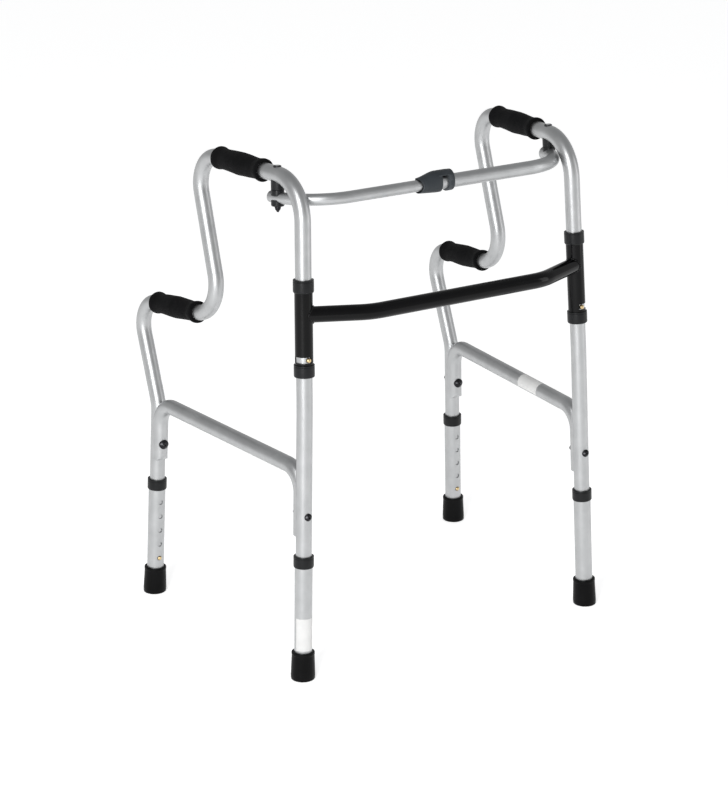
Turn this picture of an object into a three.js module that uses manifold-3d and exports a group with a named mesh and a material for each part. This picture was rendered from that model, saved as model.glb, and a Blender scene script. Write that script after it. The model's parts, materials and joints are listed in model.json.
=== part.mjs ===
// Folding two-level walking frame: two bent-tube sides that fold inward about a welded H-shaped front bar,
// a telescopic upper bar pivoted under the handles, and four height-adjustable leg extensions.
// Millimetres, +Z up, the user stands at +Y facing -Y, +X is the right side seen from the front (-Y).
import * as THREE from 'three';
import { mergeVertices } from 'three/addons/utils/BufferGeometryUtils.js';
import Module from 'manifold-3d';

const wasm = await Module();
wasm.setup();

// ---- Driving dimensions ------------------------------------------------------------------------------------
const GAP = 0.3; // clearance kept between neighbouring solids
const BBOX_MIDDLE_Y = 216.5; // moves the origin to the middle of the footprint

// Side plane: x = HALF_WIDTH + TOE * y - SPLAY * (z - HIP_Z), mirrored for the other side
const HALF_WIDTH = 264;
const HIP_Z = 450;
const TOE = 0.0695;
const SPLAY = 0.038;

// Side-frame centreline corners as [y, z, bend radius], from the front leg's lower end to the rear leg's
const SIDE_CORNERS = [
  [-13.6, 42, 0],
  [0, HIP_Z, 800],
  [21.4, 801.8, 65],
  [318, 792.4, 50],
  [231, 534.9, 57],
  [486.2, 507.4, 46],
  [417.5, 337, 60],
  [424, 42, 0],
];
const TUBE_R = 12.7;
const TUBE_BORE_R = 10.6;
const TUBE_SIDES = 12;
const TUBE_BORE_SIDES = 8;
const BEND_STEP = 18; // degrees between rings in a bend

// Leg extensions, measured along the leg from the floor
const EXTENSION_R = 14.3;
const EXTENSION_BORE_R = 13.1;
const EXTENSION_BOTTOM = 12.6;
const EXTENSION_TOP = 203;
const HOLE_PITCH = 25.4;
const HOLE_COUNT = 5;
const FIRST_HOLE_Z = 64.7;
const COLLAR_BOTTOM = 188;
const COLLAR_TOP = 206.5;
const COLLAR_R = 16.3;
const FOOT_TOP = 46;
const FOOT_TOP_R = 18.6;
const FOOT_BOTTOM_R = 19.8;
const FOOT_FLOOR = 12;

// Snap buttons and their V springs
const BUTTON_R = 3.6;
const BUTTON_HOLE_R = 4.2;
const BUTTON_INNER = 8.2;
const BUTTON_OUTER = 16.8;
const SPRING_WIDTH = 7;
const SPRING_SHEET = 0.8;
const SPRING_LENGTH = 42;
const SLEEVE_SPRING_LENGTH = 36;
const SPRING_REACH = 9.6; // far leaf to the tube axis
const SPRING_PAD = 6; // half the flat under the button
const SPRING_HEEL = 4; // how far the far leaf runs on below the button
const SPRING_BEND = 1.6;
const BUTTON_DOME = 1.6;

// Side brace between the legs
const BRACE_Z = 344;
const BRACE_OFFSET = 8; // brace end axis to leg axis
const BRACE_BEND_R = 38;
const BRACE_BORE_R = 10.9;
const BRACE_CHANNEL_R = 1.8;
const BRACE_BORE_INSET = 44; // from a brace corner to the end of its wide bore
const BRACE_REST_Z = { front: [150, 440], rear: [150, 345] }; // stretch of leg that a brace is cut to fit
const BRACE_FRONT_END_Z = 238;
const BRACE_REAR_END_Z = 244;
const BRACE_BOLT_Z = 273;
const BOLT_R = 2.9;
const BOLT_HEAD_R = { front: 6.2, rear: 8.2 };
const BOLT_HEAD_HEIGHT = 4;
const BOLT_TIP = 2.5; // bolt showing past its nut
const NUT_R = 5.6;
const NUT_HEIGHT = 5;

// Sleeves of the H bar, heights on the front-leg axis
const SLEEVE_R = 14.3;
const SLEEVE_BORE_R = 13.1;
const SLEEVE_BOTTOM_Z = 505;
const SLEEVE_TOP_Z = 643;
const SLEEVE_RING_R = 16.4;
const SLEEVE_CAP_Z = [631, 651];
const SLEEVE_CUP_Z = [498, 517.5];
const SLOT_Z = 526;
const SLOT_HALF_HEIGHT = 4.8;
const SLOT_SWEEP = [-19, 112]; // degrees round the sleeve from straight ahead towards the outer side
const CROSSBAR_Z = 595.5;
const CROSSBAR_Y = -34;
const CROSSBAR_CORNER_X = 163;
const CROSSBAR_END = [259, 8.5]; // on the sleeve axis
const CROSSBAR_BEND_R = 90;

// Foam grips as [radius, length along the grip]
const GRIP_PROFILE = [
  [17.6, 0],
  [18.6, 2.5],
  [17.9, 9],
  [16.6, 20],
  [17.6, 42],
  [18.5, 62.5],
  [17.6, 83],
  [16.6, 105],
  [17.9, 116],
  [18.6, 122.5],
  [17.6, 125],
];
const GRIP_BORE_R = 13;
const UPPER_GRIP_START = 122;
const LOWER_GRIP_START = 300.5;

// Telescopic upper bar
const PIVOT = [85, 763.5]; // bar centreline at the pivot bolt, y and z on the side plane
const BAR_FORWARD = 68; // the straight part lies this far ahead of the pivots
const BAR_CORNER_INSET = 9;
const BAR_BEND_R = 92;
const BAR_STUB = 16;
const THIN_R = 9.35;
const THIN_BORE_R = 7.9;
const THICK_R = 11.1;
const THICK_BORE_R = 9.85;
const THICK_END_X = -34;
const THIN_END_X = 62;
const BAR_SIDES = 12;
const BAR_HOLE_R = 3.3;
const SPACER_R = 10.4;
const SPACER_TOP = 784.6;
const SPACER_JOINT = 14; // above the bar centreline, where a spacer meets the seat under the handle
const SPACER_CHAMFER = 0.8;
const SADDLE_EDGE = 4; // from the bar centreline to the rim of a spacer's saddle
const SPACER_BOTTOM = 750.6;
const PIVOT_HEAD_Z = 813.4;
const PIVOT_HEAD_R = 6.4;
const PIVOT_NUT_Z = [744.4, 750.2];
const PIVOT_TIP_Z = 741;

// Lock cover on the thick tube's mouth
const COVER_X = [-46, 16.5];
const COVER_MOUTH_R = 12.2;
const COVER_R = 14.4;
const COVER_WINDOW_X = [-7, 5.5];
const BRIDGE_TOP = 20;
const BRIDGE_HALF_WIDTH = 10;
const COVER_WALL = 1.2;
const RIDGE_RISE = [[-19, 14.4], [-7, 19], [-1, BRIDGE_TOP]]; // [distance from the window, height] of its crest
const RIDGE_FALL = 6; // length of the crest's slope behind the window
const BRIDGE_SKIN = 2.2;
const WELL_HALF = 4.9;
const LOCK_BUTTON_X = -0.8;
const LOCK_BUTTON_SPAN = [5.6, 15.2];
const LOCK_SPRING_WIDTH = 5;
const LOCK_SPRING = [
  [-6, 5.3],
  [6, 5.3],
  [36, -6],
  [36, -7.4],
  [-4, -7.4],
  [-4, -6.6],
  [32, -6.6],
  [5.4, 4.5],
  [-6, 4.5],
]; // outline along the bar and up from its axis
const CUT_REACH = 30; // well clear of a tube

const ROUND = 14; // sides of a round piece
const SMALL_ROUND = 8; // sides of a bolt, button or hole

// ---- Materials ---------------------------------------------------------------------------------------------
function finish(color, roughness, metalness) {
  return new THREE.MeshStandardMaterial({ color, roughness, metalness });
}
const aluminium = finish(0xc4c7c9, 0.32, 1);
const blackPaint = finish(0x16171a, 0.22, 0);
const blackPlastic = finish(0x1a1b1d, 0.45, 0);
const charcoalPlastic = finish(0x3b3e42, 0.5, 0);
const foam = finish(0x141416, 0.92, 0);
const rubber = finish(0x1b1b1c, 0.8, 0);
const brass = finish(0xb98a3e, 0.3, 1);
const springSteel = finish(0x8d9196, 0.35, 1);
const blackSteel = finish(0x222326, 0.4, 1);

// ---- Solids ------------------------------------------------------------------------------------------------
function clean(geometry) {
  const bare = geometry.clone();
  bare.deleteAttribute('normal');
  bare.deleteAttribute('uv');
  return mergeVertices(bare, 1e-4);
}

function solid(geometry) {
  const merged = clean(geometry);
  const vertProperties = new Float32Array(merged.attributes.position.array);
  const triVerts = new Uint32Array(merged.index.array);
  const made = new wasm.Manifold(new wasm.Mesh({ numProp: 3, vertProperties, triVerts }));
  if (made.volume() > 0) return made;
  for (let i = 0; i < triVerts.length; i += 3) {
    [triVerts[i], triVerts[i + 1]] = [triVerts[i + 1], triVerts[i]];
  }
  return new wasm.Manifold(new wasm.Mesh({ numProp: 3, vertProperties, triVerts }));
}

function mesh(name, material, body, frame = null) {
  const { vertProperties, triVerts } = body.getMesh();
  const geometry = new THREE.BufferGeometry();
  geometry.setAttribute('position', new THREE.BufferAttribute(new Float32Array(vertProperties), 3));
  geometry.setIndex(new THREE.BufferAttribute(new Uint32Array(triVerts), 1));
  geometry.computeVertexNormals();
  const made = new THREE.Mesh(geometry, material);
  made.name = name;
  if (frame) frame.decompose(made.position, made.quaternion, made.scale);
  return made;
}

function cut(body, ...tools) {
  return tools.reduce((left, tool) => left.subtract(tool), body);
}

// radius at the corners of a polygon whose flats stay outside the given circle
function around(radius, sides) {
  return radius / Math.cos(Math.PI / sides);
}

function frameAt(origin, up, rear = new THREE.Vector3(0, 1, 0)) {
  const z = up.clone().normalize();
  const x = new THREE.Vector3().crossVectors(rear, z).normalize();
  const y = new THREE.Vector3().crossVectors(z, x);
  return new THREE.Matrix4().makeBasis(x, y, z).setPosition(origin);
}

function placed(geometry, frame) {
  return geometry.applyMatrix4(frame);
}

// profile of [radius, height] pairs turned about Z
function turned(profile, sides) {
  const points = profile.map(([radius, height]) => new THREE.Vector2(radius, height));
  return new THREE.LatheGeometry(points, sides).rotateX(Math.PI / 2);
}

function rod(radius, from, to, sides = SMALL_ROUND) {
  const axis = new THREE.Vector3().subVectors(to, from);
  const made = new THREE.CylinderGeometry(radius, radius, axis.length(), sides).rotateX(Math.PI / 2);
  const middle = new THREE.Vector3().addVectors(from, to).multiplyScalar(0.5);
  const rear = Math.abs(axis.y) > 0.9 * axis.length() ? new THREE.Vector3(0, 0, 1) : new THREE.Vector3(0, 1, 0);
  return solid(placed(made, frameAt(middle, axis, rear)));
}

function block(low, high) {
  const size = high.map((value, i) => value - low[i]);
  const middle = high.map((value, i) => (value + low[i]) / 2);
  return solid(new THREE.BoxGeometry(...size).translate(...middle));
}

function polygon(path, radius, sides) {
  for (let i = 0; i < sides; i += 1) {
    const angle = (2 * Math.PI * (i + 0.5)) / sides;
    const move = i === 0 ? 'moveTo' : 'lineTo';
    path[move](radius * Math.cos(angle), radius * Math.sin(angle));
  }
  path.closePath();
  return path;
}

function tubeSection(outer, outerSides, inner = 0, innerSides = 0) {
  const shape = polygon(new THREE.Shape(), outer, outerSides);
  if (inner > 0) shape.holes.push(polygon(new THREE.Path(), around(inner, innerSides), innerSides));
  return shape;
}

// ---- Bent centrelines --------------------------------------------------------------------------------------
// A curve that passes through given stations, one ring of the swept tube at each
class StationCurve extends THREE.Curve {
  constructor(stations) {
    super();
    this.stations = stations;
  }

  at(u) {
    return this.stations[Math.round(u * (this.stations.length - 1))];
  }

  getPoint(u, target = new THREE.Vector3()) {
    return target.copy(this.at(u).point);
  }

  getTangentAt(u, target = new THREE.Vector3()) {
    return target.copy(this.at(u).tangent);
  }

  getSpacedPoints() {
    return this.stations.map((station) => station.point.clone());
  }
}

function direction(from, to) {
  return new THREE.Vector3().subVectors(to, from).normalize();
}

// straight runs joined by arcs: corners are { point, radius }
function bentPath(corners) {
  const last = corners.length - 1;
  const stations = [{ point: corners[0].point, tangent: direction(corners[0].point, corners[1].point) }];
  for (let i = 1; i < last; i += 1) {
    const { point, radius } = corners[i];
    const before = direction(corners[i - 1].point, point);
    const after = direction(point, corners[i + 1].point);
    const turn = before.angleTo(after);
    const inward = after.clone().addScaledVector(before, -before.dot(after)).normalize();
    const start = point.clone().addScaledVector(before, -radius * Math.tan(turn / 2));
    const centre = start.clone().addScaledVector(inward, radius);
    const steps = Math.max(1, Math.ceil(THREE.MathUtils.radToDeg(turn) / BEND_STEP));
    for (let step = 0; step <= steps; step += 1) {
      const angle = (turn * step) / steps;
      const arm = inward.clone().multiplyScalar(-Math.cos(angle)).addScaledVector(before, Math.sin(angle));
      const tangent = before.clone().multiplyScalar(Math.cos(angle)).addScaledVector(inward, Math.sin(angle));
      stations.push({ point: centre.clone().addScaledVector(arm, radius), tangent });
    }
  }
  const end = corners[last].point;
  stations.push({ point: end, tangent: direction(corners[last - 1].point, end) });
  return stations;
}

function sweep(stations, section) {
  const extrudePath = new StationCurve(stations);
  const steps = stations.length - 1;
  return solid(new THREE.ExtrudeGeometry(section, { steps, extrudePath, bevelEnabled: false }));
}

// ---- Layout of one side ------------------------------------------------------------------------------------
function sidePoint(side, y, z) {
  return new THREE.Vector3(side * (HALF_WIDTH + TOE * y - SPLAY * (z - HIP_Z)), y, z);
}

// point on a side-frame leg at height z; first and second are rows of SIDE_CORNERS
function onLine(side, first, second, z) {
  const [y0, z0] = SIDE_CORNERS[first];
  const [y1, z1] = SIDE_CORNERS[second];
  return sidePoint(side, y0 + ((z - z0) * (y1 - y0)) / (z1 - z0), z);
}

const LINES = { upper: [1, 2], front: [0, 1], rear: [7, 6] };

function legPoint(side, line, z) {
  return onLine(side, ...LINES[line], z);
}

function legUp(side, line) {
  return direction(legPoint(side, line, 100), legPoint(side, line, 300));
}

// frame on a leg axis: local Z runs up the leg, origin at height z
function legFrame(side, line, z) {
  return frameAt(legPoint(side, line, z), legUp(side, line));
}

function handlePoint(side, first, y) {
  const [y0, z0] = SIDE_CORNERS[first];
  const [y1, z1] = SIDE_CORNERS[first + 1];
  return sidePoint(side, y, z0 + ((y - y0) * (z1 - z0)) / (y1 - y0));
}

// frame on the pivot bolt axis, which is parallel to the fold axis: local Z = 0 at the bar centreline
function pivotFrame(side) {
  return frameAt(sidePoint(side, ...PIVOT), legUp(side, 'upper'));
}

// ---- Snap buttons ------------------------------------------------------------------------------------------
// frame whose local Z points out of the tube through the button hole, at radius zero
function buttonFrame(side, line, z, outward) {
  const up = legUp(side, line);
  const across = new THREE.Vector3(0, outward, 0);
  across.addScaledVector(up, -across.dot(up)).normalize();
  return frameAt(legPoint(side, line, z), across, up);
}

function snapButton(name, frame, outer) {
  const profile = [
    [0, BUTTON_INNER],
    [BUTTON_R, BUTTON_INNER],
    [BUTTON_R, outer - BUTTON_DOME],
    [BUTTON_R * 0.72, outer - BUTTON_DOME * 0.3],
    [0, outer],
  ];
  return mesh(name, brass, solid(turned(profile, SMALL_ROUND)), frame);
}

// sheet spring in a button's frame: its [along, out] outline lies in the plane of the tube axis and the button
function sheetSpring(name, frame, corners, width) {
  const outline = new THREE.Shape(corners.map(([along, out]) => new THREE.Vector2(along, out)));
  const sheet = new THREE.ExtrudeGeometry(outline, { depth: width, steps: 1, bevelEnabled: false });
  sheet.translate(0, 0, -width / 2);
  sheet.applyMatrix4(new THREE.Matrix4().set(0, 0, 1, 0, 1, 0, 0, 0, 0, 1, 0, 0, 0, 0, 0, 1));
  return mesh(name, springSteel, solid(sheet), frame);
}

// V-shaped leaf spring standing inside a leg
function leafSpring(name, frame, length) {
  const near = BUTTON_INNER - GAP;
  const far = -SPRING_REACH;
  const corners = [
    [-SPRING_PAD, near],
    [SPRING_PAD, near],
    [length, far + SPRING_BEND],
    [length, far],
    [-SPRING_HEEL, far],
    [-SPRING_HEEL, far + SPRING_SHEET],
    [length - 4, far + SPRING_SHEET],
    [SPRING_PAD, near - SPRING_SHEET],
    [-SPRING_PAD, near - SPRING_SHEET],
  ];
  return sheetSpring(name, frame, corners, SPRING_WIDTH);
}

function buttonHole(frame) {
  const mouth = new THREE.Vector3(0, 0, 30).applyMatrix4(frame);
  const inside = new THREE.Vector3(0, 0, 3).applyMatrix4(frame);
  return rod(around(BUTTON_HOLE_R, SMALL_ROUND), inside, mouth);
}

// ---- Side frames -------------------------------------------------------------------------------------------
// the two through bolts of a brace: the head faces forward on both
function braceBolt(side, line) {
  const leg = legPoint(side, line, BRACE_BOLT_Z);
  const up = legUp(side, line);
  const back = new THREE.Vector3(0, 1, 0).addScaledVector(up, -up.y).normalize();
  const brace = BRACE_OFFSET + TUBE_R;
  const ahead = line === 'front' ? TUBE_R : brace;
  const behind = line === 'front' ? brace : TUBE_R;
  return { frame: frameAt(leg, back, up), ahead: ahead + GAP, behind: behind + GAP };
}

function boltHole(side, line) {
  const { frame } = braceBolt(side, line);
  const from = new THREE.Vector3(0, 0, -40).applyMatrix4(frame);
  const to = new THREE.Vector3(0, 0, 40).applyMatrix4(frame);
  return rod(around(BOLT_R + GAP, SMALL_ROUND), from, to);
}

function braceFasteners(prefix, side, line) {
  const { frame, ahead, behind } = braceBolt(side, line);
  const end = behind + NUT_HEIGHT + BOLT_TIP;
  const head = BOLT_HEAD_R[line];
  const top = -ahead - BOLT_HEAD_HEIGHT;
  const bolt = [
    [0, top],
    [head * 0.7, top],
    [head, top + BOLT_HEAD_HEIGHT / 2],
    [head, -ahead],
    [BOLT_R, -ahead],
    [BOLT_R, end],
    [0, end],
  ];
  const bore = around(BOLT_R + GAP, 6);
  const nut = [
    [bore, behind],
    [NUT_R, behind],
    [NUT_R, behind + NUT_HEIGHT],
    [bore, behind + NUT_HEIGHT],
    [bore, behind],
  ];
  return [
    mesh(`${prefix}_${line}_brace_bolt`, blackSteel, solid(turned(bolt, SMALL_ROUND)), frame),
    mesh(`${prefix}_${line}_brace_nut`, blackSteel, solid(turned(nut, 6)), frame),
  ];
}

function brace(prefix, side) {
  const frontLeg = (z) => legPoint(side, 'front', z).add(new THREE.Vector3(0, BRACE_OFFSET, 0));
  const rearLeg = (z) => legPoint(side, 'rear', z).add(new THREE.Vector3(0, -BRACE_OFFSET, 0));
  const corners = (frontZ, rearZ) => [
    { point: frontLeg(frontZ), radius: 0 },
    { point: frontLeg(BRACE_Z), radius: BRACE_BEND_R },
    { point: rearLeg(BRACE_Z), radius: BRACE_BEND_R },
    { point: rearLeg(rearZ), radius: 0 },
  ];
  const outer = sweep(bentPath(corners(BRACE_FRONT_END_Z, BRACE_REAR_END_Z)), tubeSection(TUBE_R, TUBE_SIDES));
  const span = direction(frontLeg(BRACE_Z), rearLeg(BRACE_Z));
  const boreFrom = frontLeg(BRACE_Z).addScaledVector(span, BRACE_BORE_INSET);
  const boreTo = rearLeg(BRACE_Z).addScaledVector(span, -BRACE_BORE_INSET);
  const bore = rod(around(BRACE_BORE_R, TUBE_BORE_SIDES), boreFrom, boreTo, TUBE_BORE_SIDES);
  const channel = sweep(bentPath(corners(BRACE_BOLT_Z, BRACE_BOLT_Z)), tubeSection(BRACE_CHANNEL_R, 6));
  const legTool = (line) => {
    const [from, to] = BRACE_REST_Z[line].map((z) => legPoint(side, line, z));
    return rod(around(TUBE_R + GAP, TUBE_SIDES), from, to, TUBE_SIDES);
  };
  const rearBend = sweep(bentPath(sideCorners(side).slice(5)), tubeSection(TUBE_R + 2 * GAP, TUBE_SIDES));
  const holes = [boltHole(side, 'front'), boltHole(side, 'rear')];
  const body = cut(outer, bore, channel, legTool('front'), rearBend, ...holes);
  return mesh(`${prefix}_brace`, aluminium, body);
}

function sideCorners(side) {
  return SIDE_CORNERS.map(([y, z, radius]) => ({ point: sidePoint(side, y, z), radius }));
}

function pivotBoltHole(side, radius, low, high) {
  const frame = pivotFrame(side);
  const from = new THREE.Vector3(0, 0, low).applyMatrix4(frame);
  const to = new THREE.Vector3(0, 0, high).applyMatrix4(frame);
  return rod(around(radius, SMALL_ROUND), from, to);
}

function frameTube(prefix, side, buttonFrames) {
  const section = tubeSection(TUBE_R, TUBE_SIDES, TUBE_BORE_R, TUBE_BORE_SIDES);
  const body = cut(
    sweep(bentPath(sideCorners(side)), section),
    boltHole(side, 'front'),
    boltHole(side, 'rear'),
    pivotBoltHole(side, BOLT_R + GAP, 5, 70),
    ...buttonFrames.map(buttonHole),
  );
  return mesh(`${prefix}_frame_tube`, aluminium, body);
}

function grip(name, side, first, start) {
  const from = handlePoint(side, first, start);
  const along = direction(from, handlePoint(side, first, start + 50));
  const frame = frameAt(from, along, new THREE.Vector3(0, 0, 1));
  const bore = around(GRIP_BORE_R, ROUND);
  const length = GRIP_PROFILE[GRIP_PROFILE.length - 1][1];
  const profile = [[bore, 0], ...GRIP_PROFILE, [bore, length], [bore, 0]];
  return mesh(name, foam, solid(turned(profile, ROUND)), frame);
}

// ---- Leg extensions ----------------------------------------------------------------------------------------
function legExtension(prefix, side, line, outward) {
  const frame = legFrame(side, line, 0);
  const inverse = frame.clone().invert();
  const name = `${prefix}_${line}`;
  const section = tubeSection(EXTENSION_R, ROUND, EXTENSION_BORE_R, ROUND);
  const long = { depth: EXTENSION_TOP - EXTENSION_BOTTOM, steps: 1, bevelEnabled: false };
  const tube = solid(new THREE.ExtrudeGeometry(section, long).translate(0, 0, EXTENSION_BOTTOM));
  const holes = [];
  for (let i = 0; i < HOLE_COUNT; i += 1) {
    const z = FIRST_HOLE_Z + i * HOLE_PITCH;
    const from = new THREE.Vector3(0, 6 * outward, z);
    holes.push(rod(around(BUTTON_HOLE_R, SMALL_ROUND), from, new THREE.Vector3(0, 20 * outward, z)));
  }
  const lip = around(TUBE_R + GAP, ROUND);
  const seat = around(EXTENSION_R + GAP, ROUND);
  const collar = [
    [seat, COLLAR_BOTTOM],
    [COLLAR_R - 0.9, COLLAR_BOTTOM],
    [COLLAR_R, COLLAR_BOTTOM + 2],
    [COLLAR_R, COLLAR_TOP - 1],
    [COLLAR_R - 0.8, COLLAR_TOP],
    [lip, COLLAR_TOP],
    [lip, EXTENSION_TOP + GAP],
    [seat, EXTENSION_TOP + GAP],
    [seat, COLLAR_BOTTOM],
  ];
  const foot = [
    [0, -4],
    [FOOT_BOTTOM_R, -4],
    [FOOT_BOTTOM_R, 8],
    [FOOT_BOTTOM_R - 0.9, 10],
    [FOOT_TOP_R, FOOT_TOP - 2],
    [FOOT_TOP_R - 1, FOOT_TOP],
    [seat, FOOT_TOP],
    [seat, FOOT_FLOOR],
    [0, FOOT_FLOOR],
  ];
  const ground = new THREE.BoxGeometry(100, 100, 40).translate(0, 0, -20);
  const below = solid(placed(ground, levelAt(frame, inverse)));
  return [
    mesh(`${name}_extension`, aluminium, cut(tube, ...holes), frame),
    mesh(`${name}_collar`, blackPlastic, solid(turned(collar, ROUND)), frame),
    mesh(`${name}_foot`, rubber, cut(solid(turned(foot, ROUND)), below), frame),
  ];
}

// the floor as seen from a leg's own frame
function levelAt(frame, inverse) {
  const origin = new THREE.Vector3().setFromMatrixPosition(frame);
  return new THREE.Matrix4().multiplyMatrices(inverse, new THREE.Matrix4().setPosition(origin));
}

// ---- H bar -------------------------------------------------------------------------------------------------
function sleeve(prefix, side) {
  const axisFrame = legFrame(side, 'upper', 0);
  const along = 1 / legUp(side, 'upper').z;
  const section = tubeSection(SLEEVE_R, ROUND, SLEEVE_BORE_R, ROUND);
  const depth = (SLEEVE_TOP_Z - SLEEVE_BOTTOM_Z) * along;
  const tube = solid(new THREE.ExtrudeGeometry(section, { depth, steps: 1, bevelEnabled: false }));
  const frame = legFrame(side, 'upper', SLEEVE_BOTTOM_Z);
  const [start, end] = SLOT_SWEEP.map(THREE.MathUtils.degToRad);
  const wedge = new THREE.Shape();
  wedge.moveTo(0, 0);
  for (let i = 0; i <= 6; i += 1) {
    const angle = start + ((end - start) * i) / 6;
    wedge.lineTo(side * 30 * Math.sin(angle), -30 * Math.cos(angle));
  }
  wedge.closePath();
  const slot = new THREE.ExtrudeGeometry(wedge, { depth: 2 * SLOT_HALF_HEIGHT, steps: 1, bevelEnabled: false });
  slot.translate(0, 0, (SLOT_Z - SLEEVE_BOTTOM_Z) * along - SLOT_HALF_HEIGHT);
  const seat = around(SLEEVE_R + GAP, ROUND);
  const lip = around(SLEEVE_BORE_R, ROUND);
  const ring = ([low, high], inside) => {
    const bottom = low * along;
    const top = high * along;
    const outside = [
      [SLEEVE_RING_R - 1, bottom],
      [SLEEVE_RING_R, bottom + 2],
      [SLEEVE_RING_R, top - 1],
      [SLEEVE_RING_R - 0.8, top],
    ];
    const profile = [...outside, ...inside(bottom, top)];
    return solid(turned([...profile, profile[0]], ROUND));
  };
  const capInside = (bottom, top) => {
    const step = SLEEVE_TOP_Z * along + GAP;
    return [[lip, top], [lip, step], [seat, step], [seat, bottom]];
  };
  const cupInside = (bottom, top) => {
    const step = SLEEVE_BOTTOM_Z * along - GAP;
    return [[seat, top], [seat, step], [lip, step], [lip, bottom]];
  };
  return [
    mesh(`${prefix}_sleeve`, blackPaint, cut(tube, solid(slot)), frame),
    mesh(`${prefix}_sleeve_cap`, blackPlastic, ring(SLEEVE_CAP_Z, capInside), axisFrame),
    mesh(`${prefix}_sleeve_cup`, blackPlastic, ring(SLEEVE_CUP_Z, cupInside), axisFrame),
  ];
}

function crossbar() {
  const [endX, endY] = CROSSBAR_END;
  const corners = [
    { point: new THREE.Vector3(-endX, endY, CROSSBAR_Z), radius: 0 },
    { point: new THREE.Vector3(-CROSSBAR_CORNER_X, CROSSBAR_Y, CROSSBAR_Z), radius: CROSSBAR_BEND_R },
    { point: new THREE.Vector3(CROSSBAR_CORNER_X, CROSSBAR_Y, CROSSBAR_Z), radius: CROSSBAR_BEND_R },
    { point: new THREE.Vector3(endX, endY, CROSSBAR_Z), radius: 0 },
  ];
  const tube = sweep(bentPath(corners), tubeSection(TUBE_R, TUBE_SIDES, TUBE_BORE_R, TUBE_BORE_SIDES));
  const sleeves = [-1, 1].map((side) => {
    const from = legPoint(side, 'upper', 560);
    return rod(around(SLEEVE_R + GAP, ROUND), from, legPoint(side, 'upper', 630), ROUND);
  });
  return mesh('lower_crossbar', blackPaint, cut(tube, ...sleeves));
}

// ---- Upper bar ---------------------------------------------------------------------------------------------
// bar centreline of one half, from its free end at x = endX to the stub behind the pivot
function barCorners(side, endX) {
  const frame = pivotFrame(side);
  const pivot = new THREE.Vector3().setFromMatrixPosition(frame);
  const corner = new THREE.Vector3(-side * BAR_CORNER_INSET, -BAR_FORWARD, 0).applyMatrix4(frame);
  const stub = pivot.clone().addScaledVector(direction(corner, pivot), BAR_STUB);
  return [
    { point: new THREE.Vector3(endX, corner.y, corner.z), radius: 0 },
    { point: corner, radius: BAR_BEND_R },
    { point: stub, radius: 0 },
  ];
}

function barFrame() {
  const corner = barCorners(1, 0)[1].point;
  const origin = new THREE.Vector3(0, corner.y, corner.z);
  return frameAt(origin, new THREE.Vector3(1, 0, 0), new THREE.Vector3(0, 0, 1));
}

function barTube(prefix, side, outer, inner, endX, ...extra) {
  const section = tubeSection(outer, BAR_SIDES, inner, inner === THIN_BORE_R ? TUBE_BORE_SIDES : BAR_SIDES);
  const body = sweep(bentPath(barCorners(side, endX)), section);
  return mesh(`${prefix}_bar_tube`, aluminium, cut(body, pivotBoltHole(side, BAR_HOLE_R, -30, 30), ...extra));
}

function spacers(prefix, side, barR) {
  const frame = pivotFrame(side);
  const centreZ = PIVOT[1];
  const hole = around(BAR_HOLE_R, ROUND);
  const saddle = sweep(bentPath(barCorners(side, 0)), tubeSection(around(barR + GAP, BAR_SIDES), BAR_SIDES));
  const top = SPACER_TOP - centreZ;
  const bottom = SPACER_BOTTOM - centreZ;
  const upper = [
    [hole, SADDLE_EDGE],
    [SPACER_R, SADDLE_EDGE],
    [SPACER_R, SPACER_JOINT],
    [SPACER_R - SPACER_CHAMFER, SPACER_JOINT + SPACER_CHAMFER],
    [SPACER_R - SPACER_CHAMFER / 2, top],
    [hole, top],
    [hole, SADDLE_EDGE],
  ];
  const lower = [
    [hole, bottom],
    [SPACER_R - SPACER_CHAMFER, bottom],
    [SPACER_R, bottom + 2],
    [SPACER_R, -SADDLE_EDGE],
    [hole, -SADDLE_EDGE],
    [hole, bottom],
  ];
  const shaped = (profile) => cut(solid(placed(turned(profile, ROUND), frame)), saddle);
  return [
    mesh(`${prefix}_upper_spacer`, blackPlastic, shaped(upper)),
    mesh(`${prefix}_lower_spacer`, blackPlastic, shaped(lower)),
  ];
}

function pivotFasteners(prefix, side) {
  const frame = pivotFrame(side);
  const under = PIVOT_HEAD_Z - PIVOT[1];
  const tip = PIVOT_TIP_Z - PIVOT[1];
  const bolt = [
    [0, tip],
    [BOLT_R * 0.6, tip],
    [BOLT_R, tip + 2],
    [BOLT_R, under],
    [PIVOT_HEAD_R, under],
    [PIVOT_HEAD_R * 0.85, under + 1.8],
    [PIVOT_HEAD_R * 0.45, under + 2.9],
    [0, under + 3.2],
  ];
  const bore = around(BOLT_R + GAP, 6);
  const [low, high] = PIVOT_NUT_Z.map((z) => z - PIVOT[1]);
  const nut = [
    [bore, low],
    [4.8, low],
    [NUT_R + 0.9, low + 3.4],
    [NUT_R + 0.9, high],
    [bore, high],
    [bore, low],
  ];
  return [
    mesh(`${prefix}_pivot_bolt`, blackSteel, solid(turned(bolt, SMALL_ROUND)), frame),
    mesh(`${prefix}_pivot_nut`, blackSteel, solid(turned(nut, 6)), frame),
  ];
}

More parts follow.
